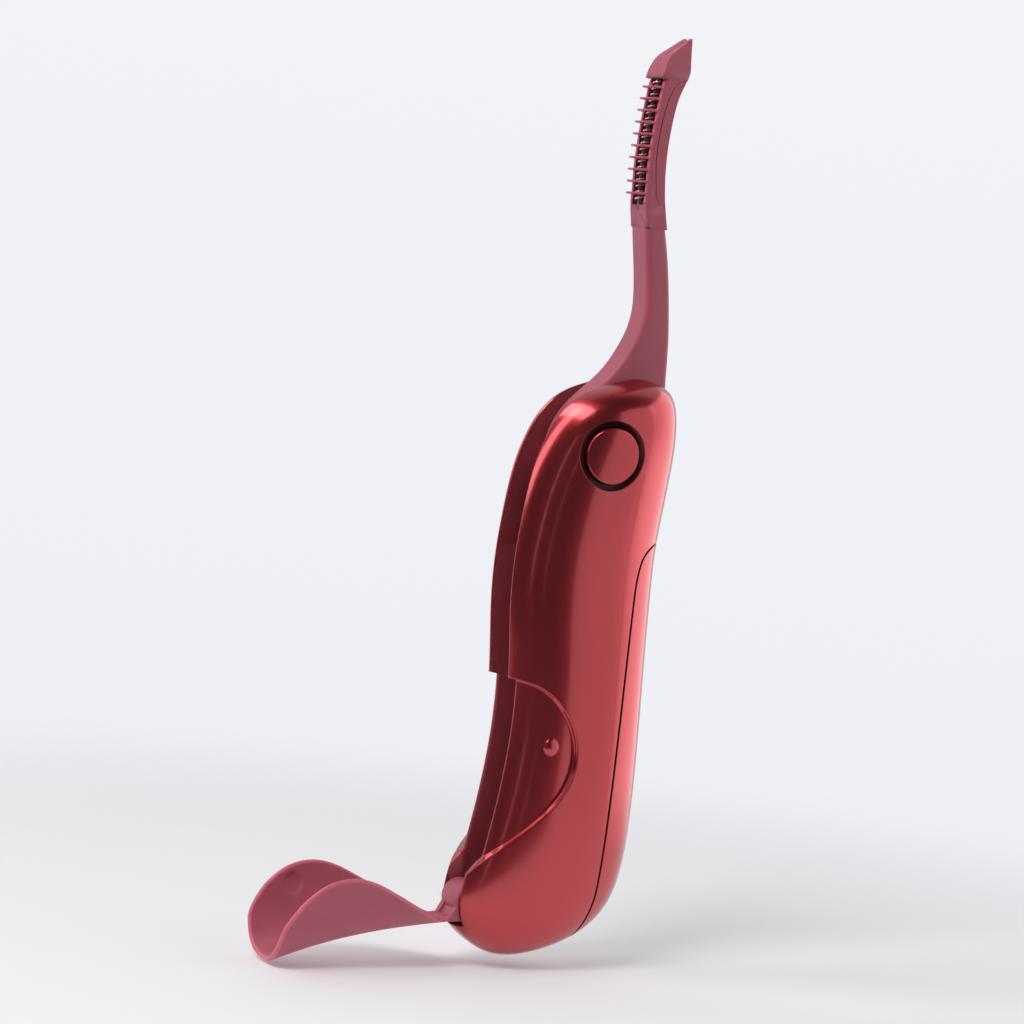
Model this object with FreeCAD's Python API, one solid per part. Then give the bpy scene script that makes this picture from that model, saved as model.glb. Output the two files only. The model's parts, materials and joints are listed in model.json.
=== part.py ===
import FreeCAD, Part
import math, os

os.makedirs("parts", exist_ok=True)
V = FreeCAD.Vector

# ---------------------------------------------------------------- dimensions
# Folding heated eyelash curler, millimetres, +Z up along the body, -Y front
# (slot opening), +X the button side.  The profiles below are laid out about
# the arm pivot axis; everything is moved by ORIGIN at the end so that the
# frame origin is the middle of the hand grip.
ORIGIN = V(0.0, -1.0, 40.0)

Z_TOP, Z_BOT = 13.5, -83.7      # ends of the body
SECT_N = 2.3                    # roundness exponent of the body section
SHELL_T = 1.3                   # shell wall
SLOT_X = 2.9                    # half width of the front slot
SLOT_WALL = 0.9                 # slot side wall of each shell
STEP_T = 1.2                    # depth of the stepped area the cover closes on
COVER_T = 0.9                   # wall of the flip cover
HINGE_Y, HINGE_Z = -12.5, -74.4 # flip cover hinge axis
BARREL_R = 2.9
COVER_OPEN = 108.0              # swing of the flip cover, degrees
ARM_X = 2.7                     # half width of the arm
HUB_R = 6.9                     # arm hub radius
PIN_R = 1.5                     # arm pivot pin radius
COVER_PIN_R = 0.75
RUN = 0.05                      # running clearance, pin to bore (radial)
BUTTON_R = 4.6
RING_R = 5.72                   # dark ring round the button
SEAM_GAP = 0.42                 # battery cover seam
CELL_R, CELL_L = 5.25, 44.5     # one small round cell
CELL_Y, CELL_TOP = 6.9, -25.0
FIN_COUNT, FIN_T = 10, 0.46
TAIL_X = 2.7                    # half width of the cover barrel and tail
SEAM_Z = 37.4                   # joint between arm and comb head

# body outline on the middle plane: (z, y) of the front and of the back edge
FRONT = [(12.3, 2.9), (11.2, -0.2), (10.3, -2.6), (9.3, -4.5), (5.6, -8.2),
         (1.3, -10.4), (-2.1, -11.6), (-7, -12.6), (-13.6, -13.3), (-18, -13.6),
         (-22, -13.6), (-28.2, -13.1), (-35.7, -12.2), (-41.3, -11.8),
         (-46, -11.8), (-51, -12.1), (-58, -12.9), (-64.3, -14.0),
         (-68.2, -14.8), (-71, -15.4), (-75, -15.9), (-77.5, -15.5),
         (-79.2, -14.2), (-81, -11.9), (-82.2, -9.8), (-83.1, -7.9)]
BACK = [(12.7, 9.6), (12.1, 11.9), (11.3, 13.1), (9.7, 14.1), (6.8, 14.8),
        (3.5, 15.1), (0.7, 15.2), (-4, 15.0), (-9, 14.7), (-15.4, 14.3),
        (-23, 14.5), (-31, 14.8), (-39.5, 15.2), (-47.5, 15.6), (-57, 15.9),
        (-63.7, 15.9), (-67, 15.6), (-71.4, 14.9), (-74.8, 13.5),
        (-76.5, 12.3), (-79.1, 9.4), (-80.8, 6.4), (-82.4, 2.2), (-83.2, -0.5)]
TOP_Y, BOT_Y = 7.0, -4.1
# half width of the body: it flares gently towards the pivot
WIDTH = [(12.2, 4.3), (11.3, 6.1), (9.7, 7.9), (6.8, 9.1), (3.5, 9.45),
         (0, 9.3), (-4, 8.95), (-9, 8.55), (-15, 8.2), (-23, 8.05), (-31, 8.05),
         (-45, 8.15), (-57, 8.2), (-64, 8.1), (-70, 7.8), (-74, 7.3),
         (-77, 6.6), (-79.5, 5.6), (-81.5, 4.4), (-82.8, 2.9)]

# ------------------------------------------------------------- curve helpers
ZC, ZH = (Z_TOP + Z_BOT) / 2.0, (Z_TOP - Z_BOT) / 2.0


def ang(z):
    return math.acos(max(-1.0, min(1.0, (ZC - z) / ZH)))


def pchip(xs, ys):
    n = len(xs)
    h = [xs[i + 1] - xs[i] for i in range(n - 1)]
    d = [(ys[i + 1] - ys[i]) / h[i] for i in range(n - 1)]
    m = [d[0]] + [0.0] * (n - 2) + [d[-1]]
    for i in range(1, n - 1):
        if d[i - 1] * d[i] > 0:
            a, b = 2 * h[i] + h[i - 1], h[i] + 2 * h[i - 1]
            m[i] = (a + b) / (a / d[i - 1] + b / d[i])

    def f(x):
        i = 0
        while i < n - 2 and x > xs[i + 1]:
            i += 1
        t = (x - xs[i]) / h[i]
        return ((1 + 2 * t) * (1 - t) ** 2 * ys[i] + t * (1 - t) ** 2 * h[i] * m[i]
                + t * t * (3 - 2 * t) * ys[i + 1] + t * t * (t - 1) * h[i] * m[i + 1])
    return f


def smooth_loop(fn, sigma, n=1440):
    raw = [fn(2 * math.pi * i / n) for i in range(n)]
    k = int(3 * sigma * n / (2 * math.pi)) + 1
    w = [math.exp(-0.5 * (j * 2 * math.pi / n / sigma) ** 2) for j in range(-k, k + 1)]
    s = sum(w)
    out = [sum(w[j + k] * raw[(i + j) % n] for j in range(-k, k + 1)) / s for i in range(n)]

    def f(x):
        u = (x % (2 * math.pi)) * n / (2 * math.pi)
        i = int(u)
        t = u - i
        p0, p1, p2, p3 = out[(i - 1) % n], out[i % n], out[(i + 1) % n], out[(i + 2) % n]
        return 0.5 * (2 * p1 + (p2 - p0) * t + (2 * p0 - 5 * p1 + 4 * p2 - p3) * t * t
                      + (3 * p1 - p0 - 3 * p2 + p3) * t ** 3)
    return f


def table(rows, lo, hi):
    pts = sorted((ang(z), y) for z, y in rows)
    xs = [0.0] + [p[0] for p in pts] + [math.pi]
    ys = [lo] + [p[1] for p in pts] + [hi]
    return pchip(xs, ys)


_f, _b, _w = table(FRONT, BOT_Y, TOP_Y), table(BACK, BOT_Y, TOP_Y), table(WIDTH, 0.0, 0.0)
OUTLINE = smooth_loop(lambda a: _f(a) if a <= math.pi else _b(2 * math.pi - a), 0.045)
HALFW = smooth_loop(lambda a: _w(a) if a <= math.pi else -_w(2 * math.pi - a), 0.06)


def body_point(v, t):
    yf, yb = OUTLINE(v), OUTLINE(2 * math.pi - v)
    c, s = math.cos(t), math.sin(t)
    r = (abs(c) ** SECT_N + abs(s) ** SECT_N) ** (-1.0 / SECT_N)
    return V(HALFW(v) * c * r, (yf + yb) / 2 + (yb - yf) / 2 * s * r, ZC - ZH * math.cos(v))


def front_y(z):
    return OUTLINE(ang(z))


def body_grid(off, nv=41, nt=29):
    rows = []
    for i in range(nv):
        v = math.pi * i / (nv - 1)
        row = []
        for j in range(nt):
            t = -math.pi / 2 + math.pi * j / (nt - 1)
            if i == 0 or i == nv - 1:
                p = V(0, BOT_Y if i == 0 else TOP_Y, Z_BOT + off if i == 0 else Z_TOP - off)
                p.y = OUTLINE(v)
                row.append(p)
                continue
            e = 1e-3
            du = body_point(v + e, t) - body_point(v - e, t)
            dt = body_point(v, t + e) - body_point(v, t - e)
            nrm = dt.cross(du)
            nrm.normalize()
            p = body_point(v, t) - nrm * off
            if j == 0 or j == nt - 1:
                p.x = 0.0
            row.append(p)
        rows.append(row)
    return rows


def half_body(off):
    s = Part.BSplineSurface()
    s.interpolate(body_grid(off))
    f = s.toShape()
    flat = [e for e in f.Edges if e.BoundBox.XLength < 1e-6 and e.Length > 1]
    g = Part.Face(Part.Wire(Part.__sortEdges__(flat)))
    sh = Part.makeShell([f, g])
    sh.sewShape()
    so = Part.makeSolid(sh)
    if so.Volume < 0:
        so.reverse()
    return so


def mirror(s):
    return s.mirror(V(0, 0, 0), V(1, 0, 0))


def edge(pts, x):
    p = [V(x, y, z) for y, z in pts]
    if len(p) == 2:
        return Part.makeLine(p[0], p[1])
    c = Part.BSplineCurve()
    c.interpolate(p)
    return c.toShape()


def prism(segs, x0, x1):
    """segs: lists of (y, z); two points make a line, more a smooth curve."""
    w = Part.Wire([edge(s, x0) for s in segs])
    return Part.Face(w).extrude(V(x1 - x0, 0, 0))


def poly(pts, x0, x1):
    n = len(pts)
    return prism([[pts[i], pts[(i + 1) % n]] for i in range(n)], x0, x1)


def cyl_x(r, x0, x1, y, z):
    return Part.makeCylinder(r, x1 - x0, V(x0, y, z), V(1, 0, 0))


def box(x0, x1, y0, y1, z0, z1):
    return Part.makeBox(x1 - x0, y1 - y0, z1 - z0, V(x0, y0, z0))


def one(s):
    s = s.removeSplitter() if hasattr(s, "removeSplitter") else s
    return max(s.Solids, key=lambda q: q.Volume)


def fillet(s, r, pick):
    for k in (1.0, 0.7, 0.4):
        try:
            es = [e for e in s.Edges if pick(e)]
            t = s.makeFillet(r * k, es)
            if t.isValid() and t.Volume > 0:
                return one(t)
        except Exception:
            pass
    print("fillet skipped", r)
    return s


def round_each(s, r, centres):
    """Round edges one after another, each with the largest radius it takes."""
    for c in centres:
        for k in (1.0, 0.7, 0.5):
            e = min(s.Edges, key=lambda q: (q.CenterOfMass - c).Length)
            if (e.CenterOfMass - c).Length > 0.9:
                break
            try:
                t = s.makeFillet(r * k, [e])
                grew = t.BoundBox.ZMax > s.BoundBox.ZMax + 0.001 or t.BoundBox.YMax > s.BoundBox.YMax + 0.001
                if t.isValid() and len(t.Solids) == 1 and 0.9 * s.Volume < t.Volume < 1.02 * s.Volume and not grew:
                    s = one(t)
                    break
            except Exception:
                pass
    return s


OUT = {}


def put(name, s):
    s = s.copy()
    s.translate(ORIGIN)
    OUT[name] = s
    print("%-24s valid %s solids %d vol %.2f" % (name, s.isValid(), len(s.Solids), s.Volume), flush=True)
    s.exportStep("parts/%s.step" % name)


# ------------------------------------------------------------------- body
H0 = half_body(0.0)
HIN = half_body(SHELL_T)
HSTEP = half_body(STEP_T)
HDEEP = half_body(STEP_T + 1.1)
HOUT = half_body(-1.0)
HCOV = half_body(COVER_T)
HFIT = half_body(SHELL_T + 0.15)

# slot seen from the side: open to the front and over the top, floor behind
SLOT = [[(-30, 30), (12.75, 30)], [(12.75, 30), (12.75, 5.2)],
        [(12.75, 5.2), (12.2, 2.8), (10.6, 0.7), (8.6, -0.9), (7.1, -2.6), (6.2, -4.4),
         (4.6, -7.2), (2.4, -10.2), (1.0, -13.0), (0.8, -16.5)],
        [(0.8, -16.5), (0.8, -77.2)], [(0.8, -77.2), (-8.5, -77.8)],
        [(-8.5, -77.8), (-11.5, -78.0)], [(-11.5, -78.0), (-16.0, -79.3)], [(-16.0, -79.3), (-30, -79.4)],
        [(-30, -79.4), (-30, 30)]]
SLOT_PRISM = prism(SLOT, -SLOT_X, SLOT_X)

# stepped area the flip cover closes on
STEP_CURVE = [(-8.9, -38.0), (-5.6, -39.2), (-2.3, -42.2), (-0.2, -45.6), (0.65, -49.2),
              (0.1, -53.3), (-2.1, -57.2), (-6.1, -61.4), (-10.6, -65.6), (-14.2, -69.6)]
STEP = [[(-30, -37.4), (-12.6, -37.55)], [(-12.6, -37.55), (-11.0, -37.6), (-8.9, -38.0)],
        STEP_CURVE, [(-14.2, -69.6), (-17.5, -73.2)], [(-17.5, -73.2), (-30, -73.2)],
        [(-30, -73.2), (-30, -37.4)]]


def grown(pts, d):
    out = []
    for i, p in enumerate(pts):
        a, b = pts[max(0, i - 1)], pts[min(len(pts) - 1, i + 1)]
        tx, tz = b[0] - a[0], b[1] - a[1]
        l = math.hypot(tx, tz)
        out.append((p[0] - tz / l * d, p[1] + tx / l * d))
    return out


STEP_BIG = grown(STEP_CURVE, 1.2)
RIM_GAP = [0.35, 0.55, 0.9, 1.2, 1.35, 1.4, 1.35, 1.2, 0.9, 0.6]  # cover rim to ledge, top to hinge
STEP_SMALL = [grown(STEP_CURVE, -g)[i] for i, g in enumerate(RIM_GAP)]
step_big = prism([[(-30, -36.3), (-12.6, -36.3)], [(-12.6, -36.3), STEP_BIG[0]], STEP_BIG,
                  [STEP_BIG[-1], (-17.5, -75)], [(-17.5, -75), (-30, -75)], [(-30, -75), (-30, -36.3)]], -0.5, 12)
step_prism = prism(STEP, -12, 12)

# battery cover seam seen from the side (the cover is behind it)
SEAM = [(13.6, -13.6), (11.6, -14.2), (9.7, -15.7), (8.7, -18.2), (8.35, -22.0)]
SEAM_LOW = [(8.35, -72.0), (8.0, -75.0), (7.2, -78.2), (6.0, -81.2)]


def behind(d):
    s, l = grown(SEAM, -d), grown(SEAM_LOW, -d)
    return prism([[(30, -13.4 + (-d)), s[0]], s, [s[-1], l[0]], l,
                  [l[-1], (l[-1][0] - 0.5, -95)], [(l[-1][0] - 0.5, -95), (30, -95)],
                  [(30, -95), (30, -13.4 - d)]], -12, 12)


BEHIND_IN, BEHIND_OUT = behind(-SEAM_GAP / 2), behind(SEAM_GAP / 2)

ring = H0.cut(HIN)
wall = H0.common(prism(SLOT, SLOT_X, SLOT_X + SLOT_WALL))
thick = H0.cut(HDEEP).common(step_big)
shell = ring.fuse(wall).fuse(thick)
# seat for the round button: a disc behind the wall, opened by a wide ring
shell = shell.fuse(cyl_x(6.9, 5.9, 8.6, 0, 0).common(H0))
shell = shell.cut(SLOT_PRISM)
shell = shell.cut(HOUT.cut(HSTEP).common(step_prism))
shell = shell.cut(BEHIND_OUT)
shell = shell.cut(cyl_x(RING_R, 7.5, 12, 0, 0)).cut(cyl_x(BUTTON_R + 0.12, 5.0, 12, 0, 0))
shell = shell.cut(cyl_x(PIN_R, 0, 6, 0, 0)).cut(cyl_x(COVER_PIN_R, 0, SLOT_X + SLOT_WALL + 0.03, HINGE_Y, HINGE_Z))
# snap bump for the flip cover
BUMP_Y, BUMP_Z = -3.3, -48.1


def surface_x(off, y, z):
    ln = Part.makeLine(V(0.5, y, z), V(15, y, z))
    c = half_cache[off].common(ln)
    return c.BoundBox.XMax


half_cache = {STEP_T: HSTEP, COVER_T: HCOV, 0.0: H0}
bx = surface_x(STEP_T, BUMP_Y, BUMP_Z)
BUMP_H, BUMP_R = 0.4, 1.45
rs = (BUMP_R ** 2 + BUMP_H ** 2) / (2 * BUMP_H)
bump = Part.makeSphere(rs, V(bx - rs + BUMP_H, BUMP_Y, BUMP_Z)).common(
    Part.makeCylinder(BUMP_R + 0.05, 3, V(bx - 0.7, BUMP_Y, BUMP_Z), V(1, 0, 0)))
shell = one(shell.fuse(bump))
# rounded lips along the slot
shell = fillet(shell, 0.4, lambda e: abs(e.BoundBox.XMin - SLOT_X) < 1e-3 and e.BoundBox.XLength < 1e-3
               and e.Length > 50 and e.BoundBox.YMin < -12)
shell = fillet(shell, 0.4, lambda e: abs(e.BoundBox.XMin - SLOT_X) < 1e-3 and e.BoundBox.XLength < 1e-3
               and 20 < e.Length < 40 and e.BoundBox.YMax < -9)
put("right_shell", shell)
put("left_shell", mirror(shell))

# battery cover: the back of the body, both sides in one piece
bc = ring.common(BEHIND_IN)
bc = one(bc.fuse(mirror(bc)))
# tongue that hooks under the shells above the cover
tongue = box(-3.2, 3.2, 12.4, 13.0, -19.0, -12.2).fuse(box(-3.2, 3.2, 12.4, 13.6, -19.0, -15.6))
bc2 = bc.fuse(tongue.common(HIN.fuse(mirror(HIN)).fuse(bc)))
bc = one(bc2)
put("battery_cover", bc)

# ------------------------------------------------------------------ chassis
floor_out = [(13.5, 5.2), (12.9, 2.5), (11.2, 0.1), (9.2, -1.5), (7.8, -3.1), (6.95, -4.8),
             (5.3, -7.6), (3.2, -10.5), (1.85, -13.2), (1.6, -16.5)]
floor_in = SLOT[2]
ch = prism([floor_in, [(0.8, -16.5), (0.8, -77.0)], [(0.8, -77.0), (1.6, -77.0)],
            [(1.6, -77.0), (1.6, -16.5)], floor_out[::-1], [(13.5, 5.2), (13.5, 10.8)],
            [(13.5, 10.8), (12.75, 10.8)], [(12.75, 10.8), (12.75, 5.2)]], -5.9, 5.9)
bay = box(-6.0, 6.0, 1.2, 10.2, -24.6, -23.6).fuse(box(-5.0, 5.0, 1.2, 9.4, -74.0, -73.0))
sides = box(5.42, 6.0, 1.2, 7.9, -74.0, -23.6)
ch = ch.fuse(bay).fuse(sides).fuse(mirror(sides))
ch = ch.common(HFIT.fuse(mirror(HFIT)))
ch = ch.cut(box(SLOT_X - 0.02, 12, -30, 0.8, -95, 30)).cut(mirror(box(SLOT_X - 0.02, 12, -30, 0.8, -95, 30)))
thick2 = thick.fuse(mirror(thick))
ch = ch.cut(thick2)
ch = ch.cut(cyl_x(7.1, 4.1, 12, 0, 0)).cut(mirror(cyl_x(7.1, 4.1, 12, 0, 0)))
ch = one(ch)
put("chassis", ch)

# ------------------------------------------------- cell, contacts, electrics
z1, z0 = CELL_TOP, CELL_TOP - CELL_L
can = Part.makeCylinder(CELL_R - 0.15, CELL_L - 1.2, V(0, CELL_Y, z0 + 0.2))
can = can.fuse(Part.makeCylinder(1.9, 1.3, V(0, CELL_Y, z1 - 1.3))).fuse(Part.makeCylinder(3.6, 0.3, V(0, CELL_Y, z0)))
put("battery_cell", one(can))
sleeve = Part.makeCylinder(CELL_R, CELL_L - 0.9, V(0, CELL_Y, z0 + 0.1)).cut(
    Part.makeCylinder(CELL_R - 0.15, CELL_L, V(0, CELL_Y, z0 - 0.1)))
lip = Part.makeCylinder(CELL_R - 0.1, 0.2, V(0, CELL_Y, z1 - 1.0)).cut(Part.makeCylinder(4.2, 1, V(0, CELL_Y, z1 - 1.3)))
put("battery_jacket", one(sleeve.fuse(lip)))
plus = box(-3.5, 3.5, 3.4, 10.0, z1, z1 + 0.38).fuse(box(-1.5, 1.5, 1.62, 3.5, z1, z1 + 0.38))
put("contact_positive", one(plus))
minus = box(-3.5, 3.5, 3.4, 9.0, -72.98, -72.68).fuse(box(-1.5, 1.5, 1.62, 3.5, -72.98, -72.68))
put("contact_negative_plate", one(minus))
S_TURNS, S_R, S_WIRE = 2.75, 2.6, 0.26
s_lo, s_hi = -72.68 + S_WIRE + 0.01, z0 - S_WIRE - 0.01
sp = [V(S_R * math.cos(2 * math.pi * S_TURNS * i / 66.0), CELL_Y + S_R * math.sin(2 * math.pi * S_TURNS * i / 66.0),
        s_lo + (s_hi - s_lo) * i / 66.0) for i in range(67)]
sc = Part.BSplineCurve()
sc.interpolate(sp)
prof = Part.Wire([Part.makeCircle(S_WIRE, sp[0], sc.tangent(sc.FirstParameter)[0])])
spring = Part.Wire([sc.toShape()]).makePipeShell([prof], True, True)
put("contact_negative_spring", spring)

put("switch_board", box(SLOT_X + SLOT_WALL + 0.02, 4.74, -3.2, 3.2, -3.2, 3.2))
put("power_switch", one(box(4.74, 5.5, -2.1, 2.1, -2.1, 2.1).fuse(cyl_x(0.9, 5.4, 5.8, 0, 0))))

# round button: cap that follows the body surface, skirt, flange and stem
cap = cyl_x(BUTTON_R, 6.6, 12, 0, 0).common(half_body(-0.12))
cap = cap.cut(cyl_x(3.4, 5, 7.6, 0, 0))
flange = cyl_x(5.3, 4.95 + 0.6, 5.8, 0, 0).fuse(cyl_x(BUTTON_R - 0.1, 5.6, 6.8, 0, 0)).cut(cyl_x(3.4, 4, 7.6, 0, 0))
stem = cyl_x(1.1, 6.5, 8.0, 0, 0)
button = one(cap.fuse(flange).fuse(stem))
button = fillet(button, 0.35, lambda e: e.BoundBox.XMin > 8.3 and e.Length > 10)
put("power_button", button)
fixed = cyl_x(BUTTON_R + 0.12, 6.0, 12, 0, 0).common(half_body(-0.12))
fixed = fillet(one(fixed), 0.35, lambda e: e.BoundBox.XMin > 8.3 and e.Length > 10)
put("pivot_cap", mirror(fixed))
put("pivot_pin", cyl_x(PIN_R, -(SLOT_X + SLOT_WALL), SLOT_X + SLOT_WALL, 0, 0))
put("cover_pin", cyl_x(COVER_PIN_R, -(SLOT_X + SLOT_WALL), SLOT_X + SLOT_WALL, HINGE_Y, HINGE_Z))

# ---------------------------------------------------------------- flip cover
cov_prism = prism([[(-30, -37.9), (-12.6, -37.9)], [(-12.6, -37.9), STEP_SMALL[0]], STEP_SMALL,
                   [STEP_SMALL[-1], (-17.0, -72.0)], [(-17.0, -72.0), (-30, -72.0)], [(-30, -72.0), (-30, -37.9)]], -12, 12)
layer = H0.cut(HCOV)
wing = layer.common(cov_prism)
tail = layer.common(box(-1, TAIL_X, -30, -9, -76.5, -60))
half = wing.fuse(tail)
cover = half.fuse(mirror(half))
barrel = cyl_x(BARREL_R, -TAIL_X, TAIL_X, HINGE_Y, HINGE_Z)
web = prism([[(HINGE_Y, HINGE_Z + BARREL_R - 0.1), (-14.3, -69.2)], [(-14.3, -69.2), (-15.0, -69.2)],
             [(-15.0, -69.2), (-15.7, -75.0)], [(-15.7, -75.0), (HINGE_Y, HINGE_Z)],
             [(HINGE_Y, HINGE_Z), (HINGE_Y, HINGE_Z + BARREL_R - 0.1)]], -TAIL_X, TAIL_X)
cover = cover.cut(box(-4, 4, -30, -9, -80, HINGE_Z - 0.4))
cover = one(cover.fuse(barrel).fuse(web.common(HOUT.cut(HOUT.cut(H0)).fuse(mirror(H0)))))
cover = cover.cut(cyl_x(COVER_PIN_R + RUN, -5, 5, HINGE_Y, HINGE_Z))
cx = surface_x(COVER_T, BUMP_Y, BUMP_Z)
rd = (1.35 ** 2 + 0.45 ** 2) / 0.9
for sgn in (1, -1):
    cover = cover.cut(Part.makeSphere(rd, V(sgn * (cx - rd + 0.45), BUMP_Y, BUMP_Z)).common(
        Part.makeCylinder(1.35, 3, V(sgn * (cx - 0.7), BUMP_Y, BUMP_Z), V(sgn, 0, 0))))
cover = one(cover)
closed_cover = cover.copy()
cover.rotate(V(0, HINGE_Y, HINGE_Z), V(1, 0, 0), COVER_OPEN)
put("flip_cover", cover)

# ----------------------------------------------------------------------- arm
hub = [(HUB_R * math.cos(math.radians(a)), HUB_R * math.sin(math.radians(a))) for a in range(-8, -177, -12)]
ARM_FRONT = [(-6.75, 1.5), (-6.05, 3.9), (-4.2, 7.1), (-0.6, 10.8), (2.4, 14.0), (4.4, 17.2),
             (5.9, 20.6), (6.5, 24.2), (6.3, 27.6), (5.5, 32.6), (4.65, SEAM_Z)]
ARM_BACK = [(8.55, SEAM_Z), (9.9, 32), (11.2, 24.6), (11.95, 18.4), (12.3, 12.6), (12.5, 9.0),
            (12.2, 5.8), (10.8, 2.9), (8.6, 0.9)]
hubpts = [(8.6, 0.9)] + hub[1:] + [(-6.75, 1.5)]
arm = prism([hubpts, ARM_FRONT, [ARM_FRONT[-1], ARM_BACK[0]], ARM_BACK], -ARM_X, ARM_X)
arm = fillet(arm, 1.0, lambda e: abs(abs(e.BoundBox.XMin) - ARM_X) < 1e-4 and e.BoundBox.XLength < 1e-4
             and not (e.BoundBox.ZLength < 0.01))
arm = arm.cut(cyl_x(PIN_R + RUN, -5, 5, 0, 0))
LEAD = [(3.6, 4.6), (7.4, 11.0), (9.2, 18.0), (9.3, 24.0), (8.1, 31.0), (6.7, SEAM_Z), (6.2, 41.0)]


def strip(pts, d, x0, x1):
    a, b = grown(pts, d), grown(pts, -d)
    return prism([a, [a[-1], b[-1]], b[::-1], [b[0], a[0]]], x0, x1)


arm = one(arm.cut(strip(LEAD, 0.75, -1.1, 1.1)))
put("arm", arm)


def tube(pts, x, r):
    e = edge(pts, x)
    p = e.Curve.value(e.FirstParameter)
    t = e.Curve.tangent(e.FirstParameter)[0]
    c = Part.Wire([Part.makeCircle(r, p, t)])
    return Part.Wire([e]).makePipeShell([c], True, False)


lead = tube(LEAD[:-1] + [(6.3, 40.2)], 0.55, 0.4)
put("heater_lead_right", lead)
put("heater_lead_left", mirror(lead))

# --------------------------------------------------------------- comb head
COMB_FRONT = [(4.0, 41.0), (4.05, 42.8), (3.9, 46.0), (3.85, 49.0), (4.0, 52.5), (4.25, 56.0), (4.7, 60.0), (4.95, 61.8)]
HEAD_BACK = [(8.55, SEAM_Z), (7.6, 41.4), (6.9, 46.5), (6.8, 51.0), (7.15, 55.6), (8.0, 59.6), (8.95, 62.0), (9.35, 64.0)]
head = prism([[(4.65, SEAM_Z), (3.95, 41.0)], [(3.95, 41.0), (3.95, 42.5), (3.85, 46.0), (3.8, 49.0), (3.95, 52.5),
             (4.2, 56.0), (4.6, 59.6), (4.85, 61.7)], [(4.85, 61.7), (4.1, 61.75)],
             [(4.1, 61.75), (4.6, 63.7), (5.35, 65.3), (6.2, 66.2)], [(6.2, 66.2), (9.6, 68.9)],
             [(9.6, 68.9), (9.45, 66.6), (9.35, 64.0)], HEAD_BACK[::-1], [(8.55, SEAM_Z), (4.65, SEAM_Z)]], -ARM_X, ARM_X)
# the head narrows towards the beak
for s in (1, -1):
    w = Part.Face(Part.Wire([Part.makeLine(V(s * 3.2, -5, 40), V(s * 2.95, -5, 58)),
                             Part.makeLine(V(s * 2.95, -5, 58), V(s * 2.7, -5, 63.2)),
                             Part.makeLine(V(s * 2.7, -5, 63.2), V(s * 1.35, -5, 69.4)),
                             Part.makeLine(V(s * 1.35, -5, 69.4), V(s * 6, -5, 69.4)),
                             Part.makeLine(V(s * 6, -5, 69.4), V(s * 6, -5, 40)),
                             Part.makeLine(V(s * 6, -5, 40), V(s * 3.2, -5, 40))])).extrude(V(0, 25, 0))
    head = head.cut(w)
head = one(head)
seats = [e.CenterOfMass for e in head.Edges if e.Length > 3 and e.BoundBox.XLength < 1.5 and abs(e.BoundBox.XMin) > 1.2
         and e.BoundBox.ZMax > SEAM_Z + 1 and not (e.BoundBox.YMin > 9.2 and e.BoundBox.ZMax > 68)]
head = round_each(head, 0.6, sorted(seats, key=lambda c: -round(c.z)))
# V groove along the slanted beak
d = V(0, 9.6 - 6.2, 68.9 - 66.2)
d.normalize()
up = V(0, -d.z, d.y)
g0 = V(0, 5.2, 65.0) - d * 1.0
tri = Part.Face(Part.makePolygon([g0 - up * 0.05, g0 + up * 2.2 + V(1.9, 0, 0), g0 + up * 2.2 + V(-1.9, 0, 0), g0 - up * 0.05]))
head = head.cut(tri.extrude(d * 12 - up * 0.25))
PATH = [(4.55, 40.2), (4.35, 42.8), (4.2, 46.0), (4.15, 49.0), (4.3, 52.5), (4.55, 56.0), (5.0, 60.0), (5.25, 62.6)]
recess = prism([grown(PATH[1:-1], -1.35), [grown(PATH[1:-1], -1.35)[-1], (grown(PATH[1:-1], -1.35)[-1][0], 61.75)],
                [(grown(PATH[1:-1], -1.35)[-1][0], 61.75), (-5, 61.75)], [(-5, 61.75), (-5, 41.0)],
                [(-5, 41.0), (grown(PATH[1:-1], -1.35)[0][0], 41.0)],
                [(grown(PATH[1:-1], -1.35)[0][0], 41.0), grown(PATH[1:-1], -1.35)[0]]], -1.8, 1.8)
head = head.cut(recess)
# separate cover strip let into the back of the head
LINE = [(10.5, 61.7), (8.3, 61.6), (7.1, 60.9), (6.1, 59.2), (5.35, 56.3), (4.95, 53.3), (4.8, 49.8), (5.05, 46.4),
        (5.45, 43.9), (5.85, 42.3), (6.5, 41.5), (8.6, 41.3)]


def strip_back(d):
    l = grown(LINE, d)
    return prism([l, [l[-1], (14, l[-1][1])], [(14, l[-1][1]), (14, l[0][1])], [(14, l[0][1]), l[0]]], -5, 5)


sb0, sb1 = strip_back(0.09), strip_back(-0.09)
big, small = (sb0, sb1) if sb0.Volume > sb1.Volume else (sb1, sb0)
back = head.common(small)
head = head.cut(big)
rail = strip([(y + 0.29, z) for y, z in COMB_FRONT], 0.41, 1.8, 2.42)
rails = rail.fuse(mirror(rail)).common(box(-4, 4, -5, 12, 41.3, 61.45))
seat = strip([(y - 0.40, z) for y, z in COMB_FRONT], 1.10, 1.7, 2.43)
head = head.cut(seat.fuse(mirror(seat)).common(box(-4, 4, -5, 12, 41.25, 61.5)))
core_hole = tube(PATH, 0.0, 0.56)
core = tube(PATH, 0.0, 0.55)
head = head.cut(core)
leadcut = strip(LEAD[-2:] + [(5.0, 42.0)], 0.75, -1.1, 1.1) if False else box(-1.1, 1.1, 5.4, 7.2, SEAM_Z - 0.1, 40.5)
head = head.cut(leadcut)
put("comb_head", one(head))
put("comb_back", one(back))

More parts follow.
